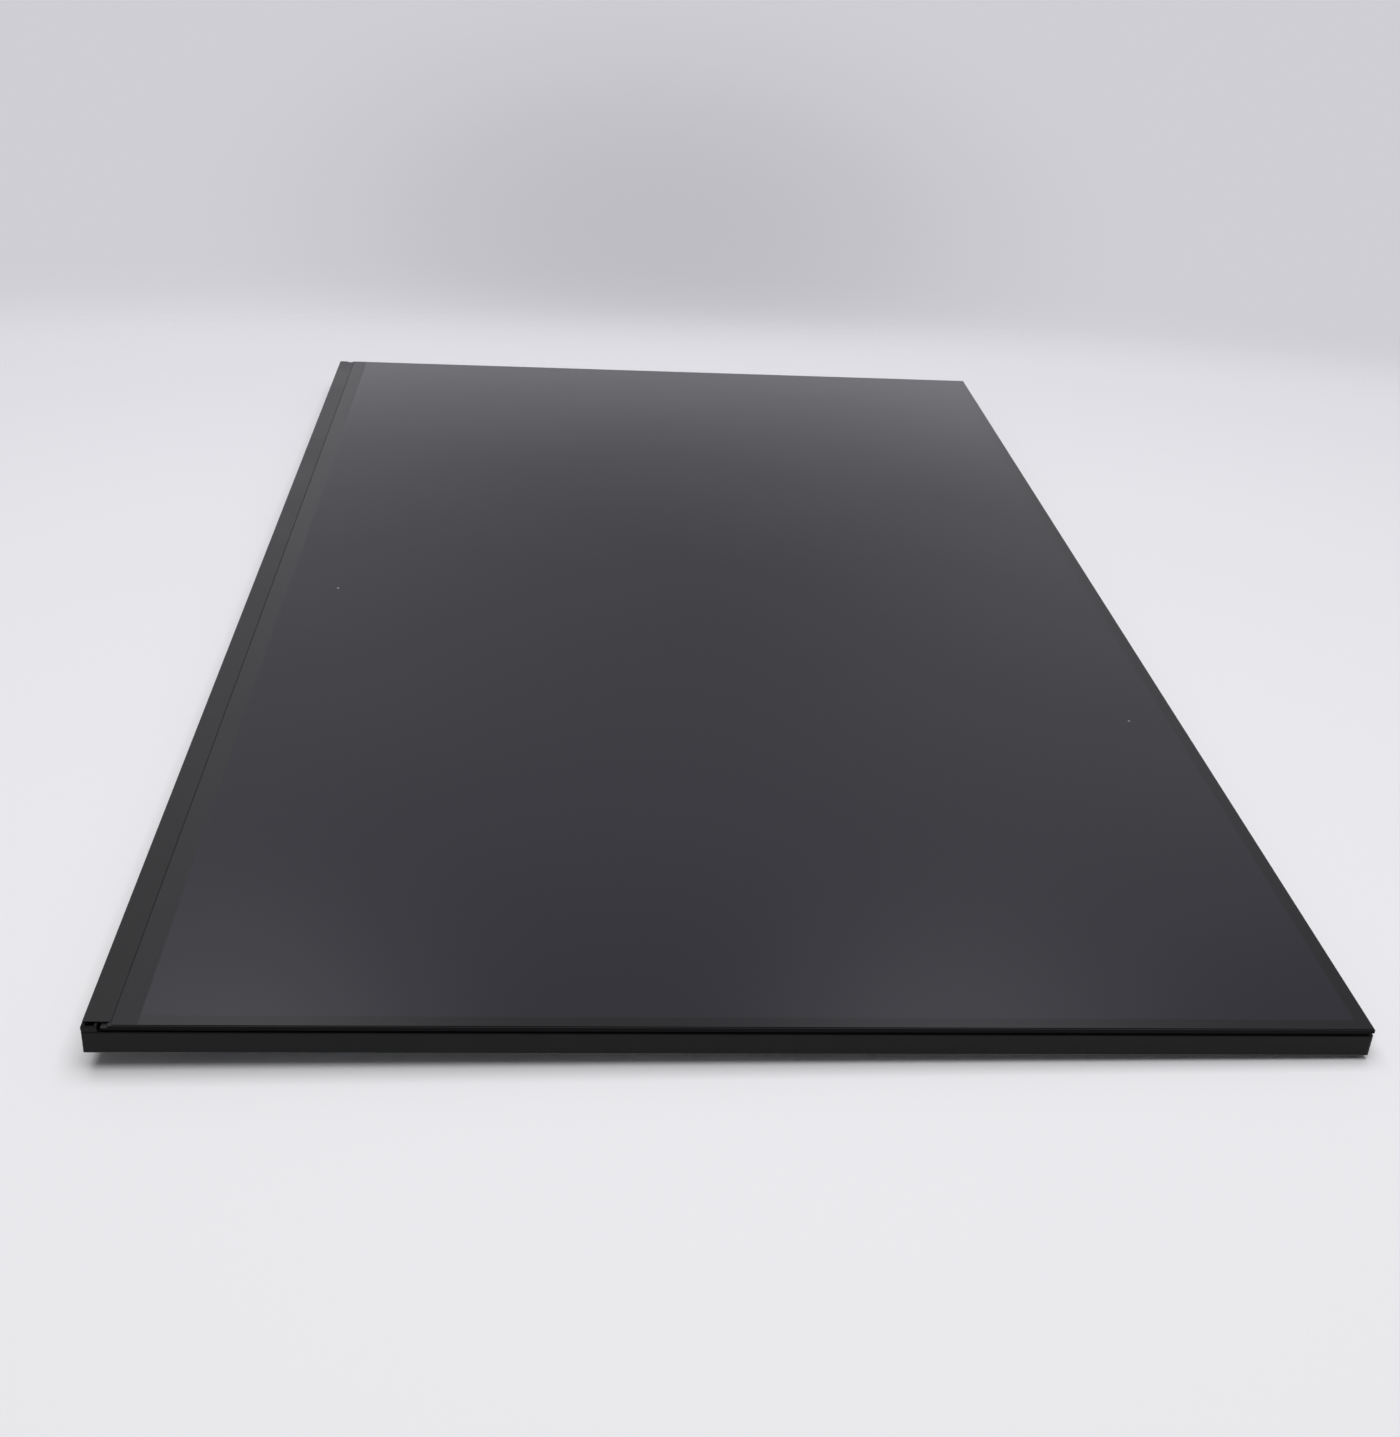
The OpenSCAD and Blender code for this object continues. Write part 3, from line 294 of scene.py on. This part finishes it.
def mill_aluminium():
    """Rolled aluminium strip, bent and left as milled: bright, with lines along its length."""
    material, tree, place = start("mill_aluminium")
    lines = clouds(tree, place, 0.5, 0.0, 1.0, stretch=(80, 1, 1))
    shade(tree, {
        "Base Color": two_tone(tree, lines, "#c9cccd", "#d4d7d8"),
        "Metallic": 1.0,
        "Roughness": clouds(tree, place, 25, 0.28, 0.38),
        "Normal": add(tree, "Bump", {"Height": lines, "Distance": 0.006 * MM, "Strength": 0.5}).outputs[0]
    })
    return material


def tinned_steel():
    """Electro-tinned steel, stamped and folded: a warm semi-bright grey with faint drawn lines and cloudy
    handling marks."""
    material, tree, place = start("tinned_steel")
    lines = clouds(tree, place, 0.4, 0.0, 1.0, stretch=(1, 50, 1))
    shade(tree, {
        "Base Color": two_tone(tree, clouds(tree, place, 30, 0.0, 1.0), "#bcbdba", "#c7c8c5"),
        "Metallic": 1.0,
        "Roughness": clouds(tree, place, 18, 0.20, 0.29),
        "Normal": add(tree, "Bump", {"Height": lines, "Distance": 0.0015 * MM, "Strength": 0.4}).outputs[0]
    })
    return material


def zinc_plate():
    """Steel screws, cold headed and zinc plated with a clear blue passivation: bright, faintly blue."""
    return grained("zinc_plate", "#b4babf", "#c0c4c6", 1.5, 0.26, 0.3, 0.003, {"Metallic": 1.0})


def socket_steel():
    """Nickel-plated spring steel, stamped: clean and semi-bright."""
    return grained("socket_steel", "#b6b4ae", "#c2c0ba", 4, 0.27, 0.4, 0.002, {"Metallic": 1.0})


def conductive_cloth():
    """Nickel-coated polyester cloth: a grey plain weave, drawn at 0.5 mm so that its threads show."""
    material, tree, place = start("conductive_cloth")
    threads = [add(tree, "TexWave", {
        "Vector": place, "Scale": 2 * math.pi / (20 * 0.5 * MM)
    }, bands_direction=axis).outputs["Fac"] for axis in ("X", "Y")]
    weave = add(tree, "Math", {0: threads[0], 1: threads[1]}, operation="MAXIMUM").outputs[0]
    shade(tree, {
        "Base Color": two_tone(tree, weave, "#6f6a60", "#b3ada0"),
        "Metallic": 0.8, "Roughness": 0.5,
        "Normal": add(tree, "Bump", {"Height": weave, "Distance": 0.06 * MM, "Strength": 0.7}).outputs[0]
    })
    return material


# Light bar
def thermal_tape():
    """Filled acrylic tape: pale blue-grey and dull."""
    return grained("thermal_tape", "#a9b2bf", "#b4bcc8", 4, 0.75, 0.4, 0.01)


def white_solder_mask():
    """White solder mask on a metal-backed board: bright satin."""
    return grained("white_solder_mask", "#efefe9", "#e7e7e0", 12, 0.35, 0.6, 0.003)


def phosphor_package():
    """White moulded cup filled with yellow phosphor in clear silicone."""
    return grained("phosphor_package", "#e9dc8c", "#f2eccb", 2.5, 0.3, 0.4, 0.004)


# Flexible circuits and boards
def copper_film(name, pitch):
    """Polyimide film over etched copper: amber, with darker copper tracks that run along its length. They
    are drawn at the given pitch so that they show."""
    material, tree, place = start(name)
    track = stripes(tree, place, pitch, "X", 0.55)
    shade(tree, {
        "Base Color": two_tone(tree, track, "#7c4a1c", "#a96a38"),
        "Roughness": clouds(tree, place, 9, 0.24, 0.36),
        "Coat Weight": 0.3, "Coat Roughness": 0.15,
        "Normal": add(tree, "Bump", {"Height": track, "Distance": 0.012 * MM, "Strength": 0.5}).outputs[0]
    })
    return material


def green_solder_mask(name, width, row):
    """Green solder mask over copper tracks on glass epoxy: satin, with lighter green where copper lies
    under it and bright dots where a plated hole comes through."""
    material, tree, place = start(name)
    copper = None
    for size, shift in ((1.0, 0.0), (1.7, 0.013)):
        spot = add(tree, "Mapping", {"Vector": place, "Location": (shift, shift, 0)}).outputs[0]
        brick = add(tree, "TexBrick", {
            "Vector": spot, "Scale": 1.0, "Mortar Size": 0.17 * MM * size, "Mortar Smooth": 0.2,
            "Brick Width": width * size * MM, "Row Height": row * size * MM
        }, offset=0.37).outputs["Fac"]
        copper = brick if copper is None else add(
            tree, "Math", {0: copper, 1: brick}, operation="MAXIMUM").outputs[0]
    flood = clouds(tree, place, 9, -0.6, 1.2)
    flood = add(tree, "Math", {0: flood, 1: 0.5}, operation="GREATER_THAN").outputs[0]
    area = add(tree, "Math", {0: copper, 1: flood}, operation="MAXIMUM").outputs[0]
    hole = add(tree, "TexVoronoi", {
        "Vector": place, "Scale": 1 / (3.1 * MM), "Randomness": 0.8
    }).outputs["Distance"]
    dot = add(tree, "MapRange", {
        "Value": hole, "From Min": 0.07, "From Max": 0.09, "To Min": 1.0, "To Max": 0.0
    })
    green = two_tone(tree, area, "#123f2a", "#1d5c3c")
    shade(tree, {
        "Base Color": add(tree, "Mix", {0: dot.outputs[0], 6: green, 7: linear("#c9b98a")},
                          data_type="RGBA").outputs[2],
        "Roughness": 0.32,
        "Coat Weight": 0.4, "Coat Roughness": 0.2,
        "Normal": add(tree, "Bump", {"Height": area, "Distance": 0.03 * MM, "Strength": 0.5}).outputs[0]
    })
    return material


def chip_resin(name):
    """Filled epoxy, transfer moulded: charcoal, with a fine erosion grain."""
    return grained(name, "#1b1c1e", "#222325", 3, 0.55, 0.25, 0.008)


def ceramic_parts():
    """Fired ceramic capacitors and small resin packages: sandy brown, smooth."""
    return grained("ceramic_parts", "#8d7357", "#a48a6b", 1.2, 0.4, 0.3, 0.003)


def ferrite():
    """Ground ferrite: dark grey and slightly glittering."""
    return grained("ferrite", "#37393b", "#46484a", 0.6, 0.5, 0.2, 0.008)


def flat_cable_jacket():
    """Flat cable of tinned conductors laminated in white polyester: ribbed along its length."""
    material, tree, place = start("flat_cable_jacket")
    rib = stripes(tree, place, 1.0, "X", 0.6)
    shade(tree, {
        "Base Color": two_tone(tree, rib, "#d9d7ce", "#c3c3bd"),
        "Roughness": 0.3,
        "Normal": add(tree, "Bump", {"Height": rib, "Distance": 0.05 * MM, "Strength": 0.6}).outputs[0]
    })
    return material


def socket_nylon():
    """Heat-resistant nylon, moulded: cream, with a silky face."""
    return grained("socket_nylon", "#e2dac6", "#d8cfb9", 3, 0.42, 0.3, 0.006)


def insulation_film():
    """Black polyester film: smooth and satin."""
    return grained("insulation_film", "#0f1011", "#131415", 18, 0.35, 0.8, 0.003)


def dress(material, *nodes):
    """Puts a material into every material slot of these nodes."""
    for name in nodes:
        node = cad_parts[name]
        for slot in node.material_slots:
            slot.material = material


dress(anti_glare_film(), "front_polariser")
dress(display_glass("front_pane_glass"), "colour_filter_glass")
dress(display_glass("rear_pane_glass"), "array_glass")
dress(matte_strip(), "pad_cover_strip")
dress(black_foam(), "cell_foam_tape")
dress(rear_film(), "rear_polariser")
dress(reflector_film(), "reflector_sheet")
dress(clear_acrylic(), "light_guide_plate")
dress(white_silicone(), "guide_plate_cushions")
dress(diffuser_film(), "lower_diffuser_sheet", "upper_diffuser_sheet")
dress(prism_film("lower_prism_film", "X"), "lower_prism_sheet")
dress(prism_film("upper_prism_film", "Y"), "upper_prism_sheet")
dress(black_polycarbonate(), "mould_frame")
dress(galvanised_steel(), "bottom_chassis")
dress(mill_aluminium(), "led_heat_spreader")
dress(tinned_steel(), "control_shield")
dress(zinc_plate(), "board_screws", "shield_screws")
dress(socket_steel(), "display_socket_shell")
dress(conductive_cloth(), "grounding_tapes")
dress(thermal_tape(), "led_thermal_tape")
dress(white_solder_mask(), "led_bar_board")
dress(phosphor_package(), "led_packages")
dress(copper_film("driver_film_polyimide", 0.8), "driver_films")
dress(copper_film("tail_polyimide", 1.8), "backlight_tail")
dress(green_solder_mask("source_board_mask", 14, 0.9), "source_boards")
dress(green_solder_mask("control_board_mask", 6, 1.1), "control_board")
dress(chip_resin("driver_chip_resin"), "driver_chips")
dress(chip_resin("package_resin"), "timing_controller_chip", "touch_controller_chip")
dress(ceramic_parts(), "source_board_parts", "control_board_parts")
dress(ferrite(), "power_inductors")
dress(flat_cable_jacket(), "link_flat_cables")
dress(socket_nylon(), "flat_cable_sockets", "display_socket_body", "touch_socket", "backlight_socket")
dress(insulation_film(), "insulation_sheet")


# Rounded edges
def softened(name, width, shortest):
    """A copy of a node with its long outer edges rounded to the given width. An edge is taken where its two
    faces turn outwards by over 50 degrees and it is longer than the shortest, in millimetres."""
    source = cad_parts[name]
    work = bmesh.new()
    work.from_mesh(source.data)
    bmesh.ops.remove_doubles(work, verts=work.verts, dist=0.001 * MM)
    bmesh.ops.dissolve_limit(work, angle_limit=math.radians(0.5), verts=work.verts, edges=work.edges)
    sharp = [
        edge for edge in work.edges
        if len(edge.link_faces) == 2 and edge.is_convex and edge.calc_length() > shortest * MM
        and edge.calc_face_angle() > math.radians(50)
    ]
    bmesh.ops.bevel(work, geom=sharp, offset=width * MM, segments=3, profile=0.5, affect="EDGES")
    mesh = bpy.data.meshes.new(name + "_rounded")
    work.to_mesh(mesh)
    work.free()
    for slot in source.material_slots[:1]:
        mesh.materials.append(slot.material)
    piece = bpy.data.objects.new(name + "_rounded", mesh)
    bpy.context.scene.collection.objects.link(piece)
    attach(piece, "root")
    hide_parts(name)


softened("mould_frame", 0.2, 2.0)
softened("control_shield", 0.12, 1.5)


# Studio: the table, the pale room around it, the lamp and the camera
# Where the shield's can ends towards the top edge, and the two upper collars' place and end, in millimetres
SHIELD_EDGE = -91.9
COLLAR_Y = 105.0
COLLAR_Z = 2.5

# Half the table's width, the middle of its clear oval and where it fades into the room, in metres
TABLE_REACH = 3.0
TABLE_MIDDLE = 0.43
TABLE_FADE = (0.74, 0.87)


def grid_mesh(name, points, material):
    """A mesh over a grid of points, an array of rows by columns by 3, with one quad for each cell."""
    rows, columns = points.shape[:2]
    corner = (np.arange(rows - 1)[:, None] * columns + np.arange(columns - 1)[None, :]).reshape(-1, 1)
    faces = corner + np.array([0, 1, columns + 1, columns])
    mesh = bpy.data.meshes.new(name)
    mesh.from_pydata(points.reshape(-1, 3), [], faces.tolist())
    mesh.materials.append(material)
    piece = bpy.data.objects.new(name, mesh)
    bpy.context.scene.collection.objects.link(piece)
    return piece


def table():
    """The table touches the module along the shield's upper edge and at the two upper collars, so its plane
    z = slope * (y - y0) leans by under a degree."""
    slope = COLLAR_Z / (COLLAR_Y - SHIELD_EDGE)
    reach = np.linspace(-TABLE_REACH, TABLE_REACH, 3)
    x, y = np.meshgrid(reach, reach)
    return grid_mesh("table", np.stack([x, y, slope * (y - SHIELD_EDGE * MM)], 2), table_paint())


def table_paint():
    """White melamine table: satin white. It is clear from below, and right under the module to the first
    bounce off its underside, so that the underside can be looked at and is lit. It fades out into the room
    behind."""
    material, tree, place = start("white_table")
    rays = add(tree, "LightPath")
    behind = add(tree, "NewGeometry").outputs["Backfacing"]
    spot = add(tree, "Mapping", {
        "Vector": place, "Location": (-TABLE_MIDDLE, 0, 0), "Scale": (1, 0.6, 0)
    }).outputs[0]
    away = add(tree, "VectorMath", {0: spot}, operation="LENGTH").outputs["Value"]
    far = add(tree, "MapRange", {
        "Value": away, "From Min": TABLE_FADE[0], "From Max": TABLE_FADE[1]
    }, interpolation_type="SMOOTHSTEP").outputs[0]
    first = add(tree, "Math", {
        0: rays.outputs["Ray Depth"], 1: 1.0, 2: 0.1
    }, operation="COMPARE").outputs[0]
    under = inside(tree, place, [-v for v in cad_box[1]], cad_box[1], 0.5 * MM)
    under = add(tree, "Math", {0: under, 1: rays.outputs["Is Shadow Ray"]}, operation="MAXIMUM").outputs[0]
    under = add(tree, "Math", {0: under, 1: first}, operation="MULTIPLY").outputs[0]
    clear = far
    for other in (behind, under):
        clear = add(tree, "Math", {0: clear, 1: other}, operation="MAXIMUM").outputs[0]
    # Painted light: the paint is lighter and bluer towards the back of the table, from x = 0.4 m to x = -0.3
    # m.
    along = add(tree, "SeparateXYZ", {"Vector": place}).outputs["X"]
    back = add(tree, "MapRange", {"Value": along, "From Min": 0.4, "From Max": -0.3}).outputs[0]
    tone = two_tone(tree, back, "#eae9ec", "#f0eff5")
    paint = add(tree, "BsdfPrincipled", {"Base Color": tone, "Roughness": 0.6, "Specular IOR Level": 0.2})
    gone = add(tree, "BsdfTransparent")
    mixed = add(tree, "MixShader", {0: clear, 1: paint.outputs[0], 2: gone.outputs[0]})
    add(tree, "OutputMaterial", {"Surface": mixed.outputs[0]})
    return material


def patch(tree, value, heading, centre, radii, amount):
    """Adds a soft round patch to a value: the amount at the patch's centre, fading to none at its radii. The
    heading holds degrees round the horizon from -X and degrees above it."""
    scaled = add(tree, "VectorMath", {0: heading, 1: [1 / r for r in radii] + [0]}, operation="MULTIPLY")
    middle = [c / r for c, r in zip(centre, radii)] + [0]
    away = add(tree, "VectorMath", {0: scaled.outputs[0], 1: middle}, operation="DISTANCE").outputs["Value"]
    more = add(tree, "MapRange", {
        "Value": away, "To Min": amount, "To Max": 0.0
    }, interpolation_type="SMOOTHERSTEP").outputs[0]
    return add(tree, "Math", {0: value, 1: more}, operation="ADD").outputs[0]


def room():
    """A plain pale room. The camera and the reflections see a soft grey wall over a white floor, with a dim
    middle. Only reflections see the wall's lit top, the dim room above it and two soft windows, and what
    lights the module is plain white."""
    world = bpy.data.worlds.new("room")
    bpy.context.scene.world = world
    world.use_nodes = True
    tree = world.node_tree
    tree.nodes.clear()
    rays = add(tree, "LightPath")
    direction = add(tree, "SeparateXYZ", {"Vector": add(tree, "TexCoord").outputs["Generated"]}).outputs
    back = add(tree, "Math", {0: direction["X"], 1: -1.0}, operation="MULTIPLY").outputs[0]
    turn = add(tree, "Math", {0: direction["Y"], 1: back}, operation="ARCTAN2").outputs[0]
    rise = add(tree, "Math", {0: direction["Z"]}, operation="ARCSINE").outputs[0]
    highest = add(tree, "MapRange", {
        "Value": rays.outputs["Is Camera Ray"], "To Min": math.radians(90), "To Max": math.radians(2)
    }).outputs[0]
    rise = add(tree, "Math", {0: rise, 1: highest}, operation="MINIMUM").outputs[0]
    radians = add(tree, "CombineXYZ", {"X": turn, "Y": rise}).outputs[0]
    heading = add(tree, "VectorMath", {0: radians, "Scale": 180 / math.pi}, operation="SCALE").outputs[0]
    degrees = add(tree, "SeparateXYZ", {"Vector": heading}).outputs[1]
    low, high = ROOM_TONES[0][0], ROOM_TONES[-1][0]
    share = add(tree, "MapRange", {"Value": degrees, "From Min": low, "From Max": high}).outputs[0]
    ramp = add(tree, "ValToRGB", {"Fac": share})
    ramp.color_ramp.interpolation = "EASE"
    stops = ramp.color_ramp.elements
    for i, (height, level) in enumerate(ROOM_TONES):
        stop = stops[i] if i < len(stops) else stops.new(1.0)
        stop.position = (height - low) / (high - low)
        stop.color = (level, level, level, 1.0)
    tone = ramp.outputs[0]
    for centre, radii, amount in PATCHES:
        tone = patch(tree, tone, heading, centre, radii, amount)
    tint = add(tree, "CombineXYZ", {"X": 0.99, "Y": 0.98, "Z": 1.045}).outputs[0]
    seen = add(tree, "VectorMath", {0: tint, "Scale": tone}, operation="SCALE").outputs[0]
    show = rays.outputs["Is Camera Ray"]
    for other in ("Is Glossy Ray", "Is Transmission Ray"):
        show = add(tree, "Math", {0: show, 1: rays.outputs[other]}, operation="MAXIMUM").outputs[0]
    above = add(tree, "MapRange", {"Value": direction["Z"], "To Min": 0.05, "To Max": 0.3}).outputs[0]
    below = add(tree, "MapRange", {
        "Value": direction["Z"], "From Min": -0.1, "From Max": 0.0, "To Min": 0.5, "To Max": 0.0
    }).outputs[0]
    level = add(tree, "Math", {0: above, 1: below}, operation="ADD").outputs[0]
    soft = add(tree, "CombineXYZ", {"X": level, "Y": level, "Z": level}).outputs[0]
    colour = add(tree, "Mix", {0: show, 6: soft, 7: seen}, data_type="RGBA").outputs[2]
    sky = add(tree, "Background", {"Color": colour, "Strength": 1.0})
    add(tree, "OutputWorld", {"Surface": sky.outputs[0]})


# The room's tone over degrees above the horizon: floor, wall, the wall's lit top and the dim room above it
ROOM_TONES = [
    (-80.0, 0.30), (-50.0, 0.55), (-32.0, 0.85), (-17.2, 0.80), (-13.8, 0.63), (2.0, 0.63), (12.0, 1.2),
    (15.0, 1.2), (18.1, 0.44), (22.0, 0.46), (27.0, 0.46), (34.0, 0.45), (80.0, 0.40)
]

# Soft patches of the room: degrees round from -X and above the horizon, their radii, and how much they add
PATCHES = [
    ((3, -12.5), (17, 8.7), -0.11),
    ((4, 22), (17, 9), -0.14),
    ((-13, 41), (14, 11), 0.88),
    ((16, 40), (12, 10), 0.62),
    ((34, 35), (14, 12), -0.12),
    ((105, 64), (75, 22), 0.7)
]


def lamp(name, place, target, size, power):
    """A square soft lamp at a place, turned to a target, in metres and watts."""
    data = bpy.data.lights.new(name, "AREA")
    data.shape = "SQUARE"
    data.size = size
    data.energy = power
    light = bpy.data.objects.new(name, data)
    bpy.context.scene.collection.objects.link(light)
    light.visible_glossy = False
    light.location = place
    light.rotation_euler = (Vector(target) - Vector(place)).to_track_quat("-Z", "Y").to_euler()


# The camera's place in metres, the way it looks, its roll in degrees and its lens in millimetres
EYE = (0.6151, -0.0467, 0.2787)
LOOK = (-0.8827, 0.0790, -0.4632)
ROLL = 3.34
LENS = 45.17


def camera():
    """The photograph's view: along the module from its +X end, from above, with a slight roll."""
    data = bpy.data.cameras.new("camera")
    data.lens = LENS
    data.sensor_width = 36.0
    data.clip_start = 0.01
    eye = bpy.data.objects.new("camera", data)
    bpy.context.scene.collection.objects.link(eye)
    forward = Vector(LOOK).normalized()
    right = forward.cross(Vector((0, 0, 1))).normalized()
    up = right.cross(forward)
    roll = math.radians(ROLL)
    right, up = right * math.cos(roll) + up * math.sin(roll), up * math.cos(roll) - right * math.sin(roll)
    turn = Matrix((right, up, -forward)).transposed().to_4x4()
    eye.matrix_world = Matrix.Translation(EYE) @ turn
    bpy.context.scene.camera = eye


table()
room()
lamp("ceiling_lamp", (0.27, 0.0, 1.4), (0.27, 0, 0), 1.5, 21.0)
camera()

bpy.context.scene.view_settings.view_transform = "Standard"
